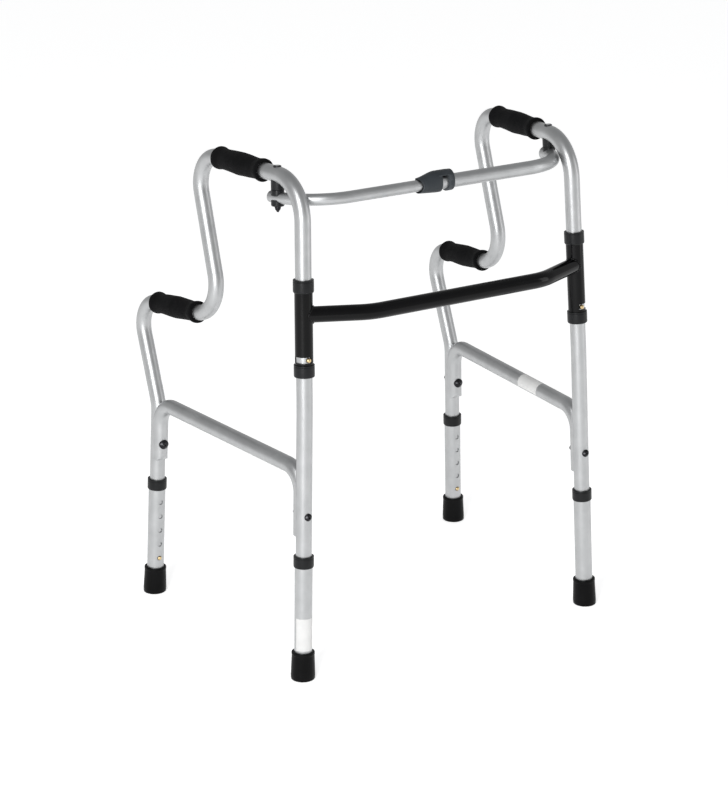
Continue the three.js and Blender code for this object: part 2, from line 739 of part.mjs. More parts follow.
// charcoal cover over the telescope mouth: a cone, an open window and a ring, bridged over the lock button
function lockCover() {
  const frame = barFrame();
  const [start, end] = COVER_X;
  const [windowStart, windowEnd] = COVER_WINDOW_X;
  const seat = around(THICK_R + GAP, ROUND);
  const profile = [
    [seat, start],
    [COVER_MOUTH_R, start],
    [COVER_R, windowStart],
    [COVER_R, end],
    [seat, end],
    [seat, start],
  ];
  const window = cut(
    block([-CUT_REACH, -CUT_REACH, windowStart], [CUT_REACH, CUT_REACH, windowEnd]),
    block([-BRIDGE_HALF_WIDTH, 0, windowStart - 1], [BRIDGE_HALF_WIDTH, CUT_REACH + 1, windowEnd + 1]),
  );
  const low = THICK_R + GAP + COVER_WALL;
  const outline = new THREE.Shape();
  outline.moveTo(windowStart + RIDGE_RISE[0][0], low);
  for (const [along, height] of RIDGE_RISE) {
    outline.lineTo(windowStart + along, height);
  }
  outline.lineTo(end - RIDGE_FALL, BRIDGE_TOP);
  outline.lineTo(end, BRIDGE_TOP - 2);
  outline.lineTo(end, low);
  outline.closePath();
  const depth = 2 * BRIDGE_HALF_WIDTH;
  const ridge = new THREE.ExtrudeGeometry(outline, { depth, steps: 1, bevelEnabled: false });
  ridge.translate(0, 0, -BRIDGE_HALF_WIDTH);
  ridge.applyMatrix4(new THREE.Matrix4().set(0, 0, 1, 0, 0, 1, 0, 0, 1, 0, 0, 0, 0, 0, 0, 1));
  const well = block(
    [-WELL_HALF, -2, LOCK_BUTTON_X - WELL_HALF],
    [WELL_HALF, BRIDGE_TOP - BRIDGE_SKIN, LOCK_BUTTON_X + WELL_HALF],
  );
  const body = cut(solid(turned(profile, ROUND)), window).add(solid(ridge)).subtract(well);
  return mesh('lock_cover', charcoalPlastic, body, frame);
}

function lockButtonFrame() {
  const corner = barCorners(1, 0)[1].point;
  const at = new THREE.Vector3(LOCK_BUTTON_X, corner.y, corner.z);
  return frameAt(at, new THREE.Vector3(0, 0, 1), new THREE.Vector3(1, 0, 0));
}

function lockHole(radius) {
  const frame = lockButtonFrame();
  const from = new THREE.Vector3(0, 0, 2).applyMatrix4(frame);
  const to = new THREE.Vector3(0, 0, 16).applyMatrix4(frame);
  return rod(around(radius, SMALL_ROUND), from, to);
}

function lockButton() {
  const frame = lockButtonFrame();
  const [low, high] = LOCK_BUTTON_SPAN;
  const profile = [
    [0, low],
    [BUTTON_R, low],
    [BUTTON_R, high - BUTTON_DOME],
    [BUTTON_R * 0.7, high - BUTTON_DOME * 0.3],
    [0, high],
  ];
  return [
    mesh('lock_button', brass, solid(turned(profile, SMALL_ROUND)), frame),
    sheetSpring('lock_spring', frame, LOCK_SPRING, LOCK_SPRING_WIDTH),
  ];
}

// ---- Assembly ----------------------------------------------------------------------------------------------
const walker = new THREE.Group();
const model = new THREE.Group();
model.position.y = -BBOX_MIDDLE_Y;
walker.add(model);
model.add(crossbar());

for (const [prefix, side] of [['left', -1], ['right', 1]]) {
  const frontButton = buttonFrame(side, 'front', FIRST_HOLE_Z * legUp(side, 'front').z, 1);
  const rearButton = buttonFrame(side, 'rear', FIRST_HOLE_Z * legUp(side, 'rear').z, -1);
  const sleeveButton = buttonFrame(side, 'upper', SLOT_Z, -1);
  model.add(frameTube(prefix, side, [frontButton, rearButton, sleeveButton]));
  model.add(brace(prefix, side));
  model.add(...braceFasteners(prefix, side, 'front'), ...braceFasteners(prefix, side, 'rear'));
  model.add(grip(`${prefix}_upper_grip`, side, 2, UPPER_GRIP_START));
  model.add(grip(`${prefix}_lower_grip`, side, 4, LOWER_GRIP_START));
  model.add(...legExtension(prefix, side, 'front', 1), ...legExtension(prefix, side, 'rear', -1));
  model.add(...sleeve(prefix, side));
  const snaps = [['front_leg', frontButton], ['rear_leg', rearButton], ['sleeve', sleeveButton]];
  for (const [spot, frame] of snaps) {
    model.add(snapButton(`${prefix}_${spot}_button`, frame, BUTTON_OUTER));
    const length = spot === 'sleeve' ? SLEEVE_SPRING_LENGTH : SPRING_LENGTH;
    model.add(leafSpring(`${prefix}_${spot}_spring`, frame, length));
  }
  model.add(...pivotFasteners(prefix, side));
  model.add(...spacers(prefix, side, side < 0 ? THIN_R : THICK_R));
}

model.add(barTube('left', -1, THIN_R, THIN_BORE_R, THIN_END_X, lockHole(BUTTON_R + GAP)));
model.add(barTube('right', 1, THICK_R, THICK_BORE_R, THICK_END_X, lockHole(BUTTON_R + GAP)));
model.add(lockCover(), ...lockButton());

export default walker;
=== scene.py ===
"""Looks of the folding two-level walking frame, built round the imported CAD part.

Lengths are in millimetres until a mesh is made. The frame is the part's: +Z up, the user stands
at +Y, and +X is the right side seen from the front. Every piece rides a body of the part. Most
are built here from the part's design dimensions and hide the CAD node they stand for. The springs
keep their CAD shapes. The welds, handle seats, bolt crowns and stickers have no CAD node.
"""

import json
import math

import bmesh
import bpy
import numpy as np
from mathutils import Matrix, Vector

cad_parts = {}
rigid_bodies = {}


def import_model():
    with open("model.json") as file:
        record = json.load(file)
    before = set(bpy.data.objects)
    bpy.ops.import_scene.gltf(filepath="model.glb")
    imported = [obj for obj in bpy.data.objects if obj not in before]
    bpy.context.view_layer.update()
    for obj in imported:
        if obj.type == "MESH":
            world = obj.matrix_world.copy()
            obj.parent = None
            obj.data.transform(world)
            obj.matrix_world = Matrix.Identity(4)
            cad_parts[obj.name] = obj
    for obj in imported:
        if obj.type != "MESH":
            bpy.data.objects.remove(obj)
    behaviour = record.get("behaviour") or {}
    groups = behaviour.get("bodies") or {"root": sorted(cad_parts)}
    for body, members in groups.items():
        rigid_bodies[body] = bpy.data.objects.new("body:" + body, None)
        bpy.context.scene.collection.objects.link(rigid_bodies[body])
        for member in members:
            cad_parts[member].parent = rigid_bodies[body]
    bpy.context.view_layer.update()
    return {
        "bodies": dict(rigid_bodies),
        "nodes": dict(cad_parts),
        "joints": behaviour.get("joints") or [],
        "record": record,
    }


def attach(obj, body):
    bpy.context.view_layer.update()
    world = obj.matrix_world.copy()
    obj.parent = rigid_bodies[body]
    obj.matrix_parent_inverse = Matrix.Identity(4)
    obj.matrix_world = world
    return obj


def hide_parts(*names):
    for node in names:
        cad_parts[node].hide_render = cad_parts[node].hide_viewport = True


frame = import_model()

# ---- Driving dimensions, the same as the part's --------------------------------------------------
MIDDLE_Y = 216.5
HALF_WIDTH = 264
HIP_Z = 450
TOE = 0.0695
SPLAY = 0.038
SIDE_CORNERS = [
    (-13.6, 42, 0),
    (0, HIP_Z, 800),
    (21.4, 801.8, 65),
    (318, 792.4, 50),
    (231, 534.9, 57),
    (486.2, 507.4, 46),
    (417.5, 337, 60),
    (424, 42, 0),
]
LINES = {"upper": (1, 2), "front": (0, 1), "rear": (7, 6)}
TUBE_R = 12.7
TUBE_BORE_R = 10.8
TOUCH = 0.05  # gap between visible pieces of one body
END_LIP = 0.4  # rounding at the ends of the extensions, sleeves and braces
REAR_LEG_CORNERS = slice(5, None)  # from the rear of the lower handle down the rear leg
HANDLE_CORNERS = slice(1, 4)  # up the front leg and back along the upper handle

EXTENSION_R = 14.3
EXTENSION_BORE_R = 13.1
EXTENSION_SPAN = (12.6, 203)
HOLE_PITCH = 25.4
HOLE_COUNT = 5
FIRST_HOLE_Z = 64.7
HOLE_R = 4.2
EXTENSION_HOLE_CUT = (6, 20)  # from the leg's axis
BUTTON_HOLE_START = 3
COLLAR_SPAN = (188, 206.5)
COLLAR_R = 16.3
COLLAR_GAP = 0.35  # round the frame tube
RING_GAP = 0.3  # between the end of a tube and the ring over it
FOOT_TOP = 46
FOOT_TOP_R = 18.6
FOOT_BOTTOM_R = 19.8
FOOT_FLOOR = 12
TREAD_DEPTH = 1.6

BUTTON_R = 3.6
BUTTON_SPAN = (8.2, 16.8)
BUTTON_DOME = 2.2

BRACE_Z = 344
BRACE_OFFSET = 8
BRACE_BEND_R = 38
BRACE_END_Z = {"front": 238, "rear": 244}
BRACE_BOLT_Z = 273
BRACE_CHAMFER = 4
BRACE_CUT_Z = (150, 440)
BOLT_R = 2.9
BOLT_HEAD_R = {"front": 6.2, "rear": 8.2}
BOLT_HEAD_HEIGHT = 4
BOLT_PAST_NUT = 2.5
SOCKET_R = 1.9
SOCKET_DEPTH = 2.4
NUT_R = 5.6
NUT_HEIGHT = 5

SLEEVE_R = 14.3
SLEEVE_BORE_R = 13.1
SLEEVE_SPAN = (505, 643)
SLEEVE_RING_R = 16.4
SLEEVE_CAP_SPAN = (631, 651)
SLEEVE_CUP_SPAN = (498, 517.5)
SLOT_Z = 526
SLOT_HALF_HEIGHT = 4.8
SLOT_SWEEP = (-19, 112)  # degrees, from straight ahead outwards
SLEEVE_CUT_Z = (550, 640)
CROSSBAR_Z = 595.5
CROSSBAR_Y = -34
CROSSBAR_CORNER_X = 163
CROSSBAR_END = (259, 8.5)
CROSSBAR_BEND_R = 90
WELD_R = 1.7
WELD_RIPPLE = 0.16
WELD_RIPPLE_STEPS = 4

GRIP_PROFILE = [  # (radius, place along the grip)
    (17.4, 0),
    (18.3, 1.2),
    (18.6, 3.5),
    (18.4, 6),
    (17.6, 9.5),
    (16.6, 16),
    (16.6, 22),
    (17.6, 42),
    (18.5, 62.5),
    (17.6, 83),
    (16.6, 103),
    (16.6, 109),
    (17.6, 115.5),
    (18.4, 119),
    (18.6, 121.5),
    (18.3, 123.8),
    (17.4, 125),
]
GRIP_BORE_R = 12.8
GRIP_RIM = [(0, 1.6), (1.2, 0.2), (3, 0)]  # (outwards from the bore, inwards from the end)
GRIP_BLUR = 3  # stations to each side
GRIP_DENT = 0.12
UPPER_GRIP_START = 122
LOWER_GRIP_START = 300.5

PIVOT = (85, 763.5)
BAR_FORWARD = 68
BAR_CORNER_INSET = 9
BAR_BEND_R = 92
BAR_STUB = 16
THIN_R = 9.35
THIN_BORE_R = 7.9
THICK_R = 11.1
THICK_BORE_R = 9.85
THICK_END_X = -34
THIN_END_X = 62
SPACER_R = 10.4
SPACER_SPLIT = 12.8
SPACER_BOTTOM = 750.6
SPACER_HOLE_R = BOLT_R + 0.1
SADDLE_EDGE = 4
SEAT_GAP = 0.35
SEAT_TOP = 36
SEAT_LIMIT = 24  # what is left of the seat above this is over the handle
BAR_BOLT_HOLE_R = 3.3
PIVOT_HEAD_Z = 813.4
PIVOT_HEAD_R = 6.4
PIVOT_HEAD_SINK = 1.7
PIVOT_NUT_SPAN = (744.4, 750.2)
PIVOT_NUT_R = (3.9, 4.9)
CROWN_R = 4.25
CROWN_RISE = 1.1
PIVOT_TIP_Z = 741

COVER_SPAN = (-46, 16.5)
COVER_MOUTH_R = 12.2
COVER_R = 14.4
COVER_WINDOW = (-7, 5.5)
COVER_WINDOW_RISE = 1.8  # above the thick tube
COVER_CONE_GAP = 8  # between the cone and the window
COVER_SCOOP_R = 15  # of the hollows cut into the sides of the mouth
COVER_SCOOP_OUT = 10.5  # from the mouth to the centre of those hollows
COVER_WELL_R = 4.9
COVER_ROUND = 1.8
BRIDGE_TOP = 20
BRIDGE_SKIN = 2.2
LOCK_BUTTON_X = -0.8
LOCK_BUTTON_SPAN = (5.6, 15.2)
LOCK_HOLE_R = HOLE_R - 0.4
LOCK_HOLE_CUT = (2, 20)

# Stickers: (span along the tube, sweep round it in degrees)
LEG_LABEL = ((50, 104), (188, 348))
BRACE_LABEL = ((238, 296), (80, 210))
LABEL_LAYER = (0.03, 0.16)  # under side and face, above the tube
LABEL_EDGE = 0.4

SIDES = 72  # round the large tubes
SMALL_SIDES = 40  # round bolts, buttons and their holes
PIVOT_SIDES = 48
GRIP_SIDES = 96
COVER_SIDES = 96
WELD_SIDES = 16
GRIP_STATIONS = 126
WELD_STEPS = 96
SLOT_STEPS = 25
LABEL_STEPS = 49
COVER_CONE_STEPS = 24
DOME_STEPS = 8
ARC_STEP = 3  # degrees between rings in a bend
FILLET_STEPS = 5
BEVEL_SEGMENTS = 3
STRAIGHT = -0.9999  # cosine between a corner's two arms past which it has nothing to round
SHARP_ANGLE = math.radians(35)
CUT_REACH = 30  # how far a cut goes past what it cuts
FAR_REACH = 40
MM = 0.001

COLOUR_NOISE = (38, 3)  # scale and detail
ROUGHNESS_NOISE = (120, 4)
GRAIN_DETAIL = 4
WORN_POINTINESS = (0.53, 0.6)  # where wear starts and where it is full

# Studio: lengths in metres, angles in degrees
FLOOR_REACH = 30
FLOOR_GAP = 0.0004
FLOOR_GLOW = 0.56
WORLD_LOW, WORLD_HIGH = (1.0, 1.0, 1.0), (0.68, 0.685, 0.69)
WORLD_STRENGTH = 0.6
SOFTBOX_AIM = (0, 0, 0.45)
CAMERA_PLACE = (-2.2756, -3.5411, 1.8015)
CAMERA_YAW = -32.53
CAMERA_PITCH = 19.04
CAMERA_LENS = 119.7


# ---- Vectors and frames --------------------------------------------------------------------------
def vec(*values):
    return np.array(values, float)


def unit(v):
    return v / np.linalg.norm(v)


UP = vec(0, 0, 1)
REAR = vec(0, 1, 0)
ALONG_X = vec(1, 0, 0)


def frame_at(origin, up, rear=REAR):
    """4x4 frame with local Z along up and local Y as near rear as it can be."""
    z = unit(up)
    x = unit(np.cross(rear, z))
    made = np.eye(4)
    made[:3, 0], made[:3, 1], made[:3, 2], made[:3, 3] = x, np.cross(z, x), z, origin
    return made


def apply(matrix, points):
    return np.asarray(points, float) @ matrix[:3, :3].T + matrix[:3, 3]


def side_point(side, y, z):
    return vec(side * (HALF_WIDTH + TOE * y - SPLAY * (z - HIP_Z)), y - MIDDLE_Y, z)


def leg_point(side, line, z):
    (y0, z0, _), (y1, z1, _) = (SIDE_CORNERS[i] for i in LINES[line])
    return side_point(side, y0 + (z - z0) * (y1 - y0) / (z1 - z0), z)


def leg_up(side, line):
    """Direction of a straight leg; any two heights on it give the same."""
    return unit(leg_point(side, line, 300) - leg_point(side, line, 100))


def leg_frame(side, line, z):
    return frame_at(leg_point(side, line, z), leg_up(side, line))


def handle_point(side, first, y):
    """The point at y on the straight tube from side corner number first to the next one."""
    (y0, z0, _), (y1, z1, _) = SIDE_CORNERS[first], SIDE_CORNERS[first + 1]
    return side_point(side, y, z0 + (y - y0) * (z1 - z0) / (y1 - y0))


def pivot_frame(side):
    return frame_at(side_point(side, *PIVOT), leg_up(side, "upper"))


def button_frame(side, line, z, outward):
    """Local Z points out through the button's hole, local Y runs up the tube."""
    up = leg_up(side, line)
    across = vec(0, outward, 0)
    return frame_at(leg_point(side, line, z), across - (across @ up) * up, up)


# ---- Outlines and centrelines --------------------------------------------------------------------
def rounded(outline, closed=True):
    """Points of a 2D outline of (x, y, fillet) corners, each fillet turned into an arc."""
    points = []
    for i, (x, y, fillet) in enumerate(outline):
        here = vec(x, y)
        if not fillet or (not closed and i in (0, len(outline) - 1)):
            points.append(here)
            continue
        before = unit(vec(*outline[i - 1][:2]) - here)
        after = unit(vec(*outline[(i + 1) % len(outline)][:2]) - here)
        if before @ after < STRAIGHT:
            points.append(here)
            continue
        half = math.acos(max(-1, min(1, before @ after))) / 2
        centre = here + unit(before + after) * fillet / math.sin(half)
        first = here + before * fillet / math.tan(half) - centre
        last = here + after * fillet / math.tan(half) - centre
        sweep = math.pi - 2 * half
        for step in range(FILLET_STEPS + 1):
            t = step / FILLET_STEPS
            arm = math.sin((1 - t) * sweep) * first + math.sin(t * sweep) * last
            points.append(centre + arm / math.sin(sweep))
    return points


def bent_path(corners):
    """(point, tangent) stations of straight runs joined by arcs.

    The corners are (point, bend radius); the radii of the two ends are not used.
    """
    stations = [(corners[0][0], unit(corners[1][0] - corners[0][0]))]
    for (last, _), (point, radius), (following, _) in zip(corners, corners[1:], corners[2:]):
        before, after = unit(point - last), unit(following - point)
        turn = math.acos(max(-1, min(1, before @ after)))
        inward = unit(after - (before @ after) * before)
        centre = point - before * radius * math.tan(turn / 2) + inward * radius
        steps = max(3, math.ceil(math.degrees(turn) / ARC_STEP))
        for step in range(steps + 1):
            angle = turn * step / steps
            arm = -inward * math.cos(angle) + before * math.sin(angle)
            tangent = before * math.cos(angle) + inward * math.sin(angle)
            stations.append((centre + arm * radius, tangent))
    stations.append((corners[-1][0], unit(corners[-1][0] - corners[-2][0])))
    return stations


def side_corners(side):
    return [(side_point(side, y, z), radius) for y, z, radius in SIDE_CORNERS]


def bar_corners(side, end_x):
    corner = apply(pivot_frame(side), vec(-side * BAR_CORNER_INSET, -BAR_FORWARD, 0))
    pivot = side_point(side, *PIVOT)
    stub = pivot + unit(pivot - corner) * BAR_STUB
    return [(vec(end_x, corner[1], corner[2]), 0), (corner, BAR_BEND_R), (stub, 0)]


BAR_AXIS = bar_corners(1, 0)[0][0]


# ---- Meshes --------------------------------------------------------------------------------------
def join_rings(rings, closed):
    """Vertices and faces of a skin through rings of equal size.

    A ring of one point closes an end, and an open skin's wider end rings each get a face.
    """
    vertices, faces, starts = [], [], []
    for ring in rings:
        starts.append(len(vertices))
        vertices.extend(ring)
    pairs = list(zip(range(len(rings)), range(1, len(rings))))
    if closed:
        pairs.append((len(rings) - 1, 0))
    for a, b in pairs:
        count = max(len(rings[a]), len(rings[b]))
        for i in range(count):
            j = (i + 1) % count
            if len(rings[a]) == 1:
                faces.append((starts[a], starts[b] + j, starts[b] + i))
            elif len(rings[b]) == 1:
                faces.append((starts[a] + i, starts[a] + j, starts[b]))
            else:
                faces.append((starts[a] + i, starts[a] + j, starts[b] + j, starts[b] + i))
    if not closed:
        for ring, start in ((rings[0], starts[0]), (rings[-1], starts[-1])):
            if len(ring) > 2:
                faces.append(tuple(range(start, start + len(ring))))
    return vertices, faces


def circle(sides):
    angles = 2 * math.pi * np.arange(sides) / sides
    return np.stack([np.cos(angles), np.sin(angles)], 1)


def hexagon(radius):
    angles = [math.pi * i / 3 for i in range(6)]
    return [(radius * math.cos(angle), radius * math.sin(angle)) for angle in angles]


def lathe(profile, frame, sides=SIDES, closed=True):
    """A (radius, height) profile turned about the frame's local Z."""
    around = circle(sides)
    rings = []
    for radius, height in profile:
        if radius == 0:
            rings.append(apply(frame, [vec(0, 0, height)]))
        else:
            flat = np.column_stack([around * radius, np.full(sides, height)])
            rings.append(apply(frame, flat))
    return join_rings(rings, closed)


def swept(stations, radius, bore=0, sides=SIDES, lip=0.5):
    """A round tube along the stations, or a solid bar where bore is 0, with chamfered ends."""
    around = circle(sides)
    x = None
    frames = []
    for point, tangent in stations:
        start = (UP if abs(tangent[2]) < 0.8 else REAR) if x is None else x
        x = unit(start - (start @ tangent) * tangent)
        frames.append((point, tangent, x, np.cross(tangent, x)))

    def ring(index, r, shift=0):
        point, tangent, x, y = frames[index]
        return point + tangent * shift + around[:, :1] * r * x + around[:, 1:] * r * y

    last = len(frames) - 1
    rings = [ring(0, radius - lip), ring(0, radius, lip)]
    rings += [ring(i, radius) for i in range(1, last)]
    rings += [ring(last, radius, -lip), ring(last, radius - lip)]
    if bore:
        rings += [ring(i, bore) for i in range(last, -1, -1)]
    return join_rings(rings, bool(bore))


def rod(radius, start, end, sides=SIDES):
    axis = unit(end - start)
    return swept([(start, axis), (end, axis)], radius, sides=sides, lip=0.001)


def dome(radius, base, rise):
    """Profile of a dome from its rim at base to just short of its top, rise above it."""
    angles = np.linspace(0, math.pi / 2, DOME_STEPS + 1)[:-1]
    return [(radius * math.cos(angle), base + rise * math.sin(angle)) for angle in angles]


def prism(outline, frame, low, high):
    """A closed 2D outline in the frame's XY plane, extruded from low to high along its Z."""
    rings = [apply(frame, [vec(x, y, level) for x, y in outline]) for level in (low, high)]
    return join_rings(rings, False)


def box(frame, low, high):
    outline = [(low[0], low[1]), (high[0], low[1]), (high[0], high[1]), (low[0], high[1])]
    return prism(outline, frame, low[2], high[2])


def new_object(name, shape):
    vertices, faces = shape
    mesh = bpy.data.meshes.new(name)
    mesh.from_pydata([tuple(float(c) * MM for c in v) for v in vertices], [], faces)
    turned = bmesh.new()
    turned.from_mesh(mesh)
    bmesh.ops.recalc_face_normals(turned, faces=turned.faces)
    turned.to_mesh(mesh)
    turned.free()
    made = bpy.data.objects.new(name, mesh)
    bpy.context.scene.collection.objects.link(made)
    return made


def bake_modifiers(target):
    bpy.context.view_layer.update()
    depsgraph = bpy.context.evaluated_depsgraph_get()
    mesh = bpy.data.meshes.new_from_object(target.evaluated_get(depsgraph))
    target.modifiers.clear()
    target.data = mesh


def carve(target, cuts, operation="DIFFERENCE"):
    """Cuts shapes out of an object, or joins them to it, and keeps the result as its mesh."""
    tools = [new_object("tool", shape) for shape in cuts]
    for tool in tools:
        modifier = target.modifiers.new("cut", "BOOLEAN")
        modifier.operation = operation
        modifier.solver = "EXACT"
        modifier.object = tool
    bake_modifiers(target)
    for tool in tools:
        bpy.data.objects.remove(tool)


def soften(target, width):
    """Bevels the sharp edges and keeps the result as the object's mesh."""
    modifier = target.modifiers.new("edges", "BEVEL")
    modifier.width = width * MM
    modifier.segments = BEVEL_SEGMENTS
    modifier.limit_method = "ANGLE"
    modifier.angle_limit = math.radians(38)
    modifier.harden_normals = False
    bake_modifiers(target)


# ---- Materials -----------------------------------------------------------------------------------
def ramp(tree, source, low, high, start=0.3, end=0.7):
    """A colour ramp over a factor, from low to high; grey values stand for numbers."""
    node = tree.nodes.new("ShaderNodeValToRGB")
    tree.links.new(source, node.inputs["Fac"])
    for element, position, value in zip(node.color_ramp.elements, (start, end), (low, high)):
        element.position = position
        colour = value if isinstance(value, tuple) else (value,) * 3
        element.color = (*colour, 1)
    return node.outputs["Color"]


def material(name, colours, roughness, metallic=0.0, grain=(), wear=None, **sockets):
    """A node material whose colour and roughness vary softly over the surface.

    The grain rows, (kind, scale, depth in millimetres), give it fine relief. wear is the colour
    that convex edges turn to, and how far they turn to it.
    """
    made = bpy.data.materials.new(name)
    made.use_nodes = True
    tree = made.node_tree
    shader = tree.nodes["Principled BSDF"]
    place = tree.nodes.new("ShaderNodeTexCoord").outputs["Object"]

    def noise(scale, detail):
        node = tree.nodes.new("ShaderNodeTexNoise")
        node.inputs["Scale"].default_value = scale
        node.inputs["Detail"].default_value = detail
        tree.links.new(place, node.inputs["Vector"])
        return node.outputs["Fac"]

    colour = ramp(tree, noise(*COLOUR_NOISE), *colours)
    if wear:
        bare, most = wear
        edge = tree.nodes.new("ShaderNodeNewGeometry").outputs["Pointiness"]
        share = ramp(tree, edge, 0.0, most, *WORN_POINTINESS)
        mix = tree.nodes.new("ShaderNodeMix")
        mix.data_type = "RGBA"
        tree.links.new(share, mix.inputs["Factor"])
        tree.links.new(colour, mix.inputs["A"])
        mix.inputs["B"].default_value = (*bare, 1)
        colour = mix.outputs["Result"]
    tree.links.new(colour, shader.inputs["Base Color"])
    gloss = ramp(tree, noise(*ROUGHNESS_NOISE), *roughness)
    tree.links.new(gloss, shader.inputs["Roughness"])
    shader.inputs["Metallic"].default_value = metallic
    for socket, value in sockets.items():
        shader.inputs[socket.replace("_", " ")].default_value = value
    normal = None
    for kind, scale, depth in grain:
        if kind == "noise":
            height = noise(scale, GRAIN_DETAIL)
        else:
            cells = tree.nodes.new("ShaderNodeTexVoronoi")
            cells.inputs["Scale"].default_value = scale
            tree.links.new(place, cells.inputs["Vector"])
            height = cells.outputs["Distance"]
        bump = tree.nodes.new("ShaderNodeBump")
        bump.inputs["Strength"].default_value = 1.0
        bump.inputs["Distance"].default_value = depth * MM
        tree.links.new(height, bump.inputs["Height"])
        if normal:
            tree.links.new(normal, bump.inputs["Normal"])
        normal = bump.outputs["Normal"]
    if normal:
        tree.links.new(normal, shader.inputs["Normal"])
    return made


MATERIALS = {
    "aluminium": material(
        "satin_aluminium",
        ((0.42, 0.427, 0.432), (0.475, 0.482, 0.487)),
        (0.36, 0.43),
        metallic=1.0,
        grain=[("noise", 2600, 0.012)],
    ),
    "black_paint": material(
        "gloss_black_paint",
        ((0.0012, 0.0012, 0.0014), (0.002, 0.002, 0.0023)),
        (0.08, 0.13),
        grain=[("noise", 260, 0.02)],
        Specular_IOR_Level=0.16,
    ),
    "black_plastic": material(
        "black_plastic",
        ((0.004, 0.0045, 0.005), (0.0075, 0.008, 0.009)),
        (0.30, 0.42),
        grain=[("noise", 2200, 0.03)],
        wear=((0.02, 0.021, 0.023), 0.5),
        Specular_IOR_Level=0.22,
    ),
    "charcoal_plastic": material(
        "charcoal_plastic",
        ((0.020, 0.024, 0.028), (0.027, 0.032, 0.037)),
        (0.38, 0.5),
        grain=[("noise", 2600, 0.04)],
        wear=((0.06, 0.066, 0.073), 0.5),
        Specular_IOR_Level=0.25,
    ),
    "foam": material(
        "black_foam",
        ((0.0012, 0.0012, 0.0015), (0.0032, 0.0032, 0.0037)),
        (0.86, 0.97),
        grain=[("cells", 1150, 0.16), ("noise", 380, 0.25)],
        Specular_IOR_Level=0.1,
        Sheen_Weight=0.015,
        Sheen_Roughness=0.5,
    ),
    "rubber": material(
        "black_rubber",
        ((0.0016, 0.0016, 0.0018), (0.0034, 0.0034, 0.0036)),
        (0.34, 0.48),
        grain=[("noise", 900, 0.05)],
        wear=((0.008, 0.008, 0.0085), 0.4),
        Specular_IOR_Level=0.08,
    ),
    "brass": material(
        "brass",
        ((0.60, 0.46, 0.25), (0.68, 0.53, 0.30)),
        (0.2, 0.32),
        metallic=1.0,
        grain=[("noise", 2400, 0.01)],
    ),
    "spring_steel": material(
        "spring_steel",
        ((0.45, 0.46, 0.47), (0.56, 0.57, 0.58)),
        (0.22, 0.34),
        metallic=1.0,
        grain=[("noise", 1800, 0.01)],
    ),
    "black_steel": material(
        "black_steel",
        ((0.02, 0.02, 0.022), (0.035, 0.035, 0.038)),
        (0.3, 0.42),
        metallic=1.0,
        grain=[("noise", 1600, 0.02)],
        wear=((0.2, 0.2, 0.21), 0.6),
    ),
}
PAPER = material(
    "label_paper",
    ((0.60, 0.60, 0.595), (0.66, 0.66, 0.65)),
    (0.4, 0.5),
    grain=[("noise", 1500, 0.01)],
)


def finish_piece(made, slot, body, nodes=()):
    """Gives a piece its finish, smooth shading and body, and hides the CAD nodes it stands for."""
    made.data.materials.clear()
    made.data.materials.append(MATERIALS[slot])
    made.data.shade_smooth()
    made.data.set_sharp_from_angle(angle=SHARP_ANGLE)
    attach(made, body)
    if nodes:
        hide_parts(*nodes)
    return made


def piece(name, shape, slot, body, cuts=(), bevel=0):
    """A finished piece that stands for the CAD node of its own name."""
    made = new_object("piece", shape)
    if cuts:
        carve(made, cuts)
    if bevel:
        soften(made, bevel)
    made.name = f"{name}_look"
    return finish_piece(made, slot, body, [name])


# ---- Side frames ---------------------------------------------------------------------------------
def brace_bolt_frame(side, line):
    """Local Z points to the rear through the leg and the brace end."""
    up = leg_up(side, line)
    return frame_at(leg_point(side, line, BRACE_BOLT_Z), REAR - up[1] * up, up)


def brace_reach(line):
    """How far the joined tubes reach ahead of and behind the leg's axis at a brace bolt."""
    far = BRACE_OFFSET + TUBE_R
    return (TUBE_R, far) if line == "front" else (far, TUBE_R)


def button_hole(frame):
    ends = apply(frame, [vec(0, 0, BUTTON_HOLE_START), vec(0, 0, CUT_REACH)])
    return rod(HOLE_R, *ends, SMALL_SIDES)


def frame_tube(prefix, side, button_frames):
    shape = swept(bent_path(side_corners(side)), TUBE_R, TUBE_BORE_R)
    cuts = [button_hole(frame) for frame in button_frames]
    piece(f"{prefix}_frame_tube", shape, "aluminium", f"{prefix}_side_frame", cuts=cuts)


def brace_corners(side):
    """Front and rear corners of the brace's level run."""
    offset = REAR * BRACE_OFFSET
    return leg_point(side, "front", BRACE_Z) + offset, leg_point(side, "rear", BRACE_Z) - offset


def brace(prefix, side):
    """The bent tube between a side's legs, cut to lie against them, with a chamfered rear tip."""
    offset = REAR * BRACE_OFFSET
    front, rear = brace_corners(side)
    front_end = leg_point(side, "front", BRACE_END_Z["front"]) + offset
    rear_end = leg_point(side, "rear", BRACE_END_Z["rear"]) - offset
    corners = [(front_end, 0), (front, BRACE_BEND_R), (rear, BRACE_BEND_R), (rear_end, 0)]
    shape = swept(bent_path(corners), TUBE_R, lip=END_LIP)
    front_leg = rod(TUBE_R + TOUCH, *(leg_point(side, "front", z) for z in BRACE_CUT_Z))
    rear_leg = swept(bent_path(side_corners(side)[REAR_LEG_CORNERS]), TUBE_R + 2 * TOUCH)
    tip = leg_point(side, "rear", BRACE_END_Z["rear"]) - REAR * (BRACE_OFFSET + TUBE_R)
    slope = frame_at(tip, UP + REAR, ALONG_X)
    chamfer = box(slope, (-CUT_REACH,) * 3, (CUT_REACH, CUT_REACH, BRACE_CHAMFER))
    cuts = [front_leg, rear_leg, chamfer]
    piece(f"{prefix}_brace", shape, "aluminium", f"{prefix}_side_frame", cuts=cuts)


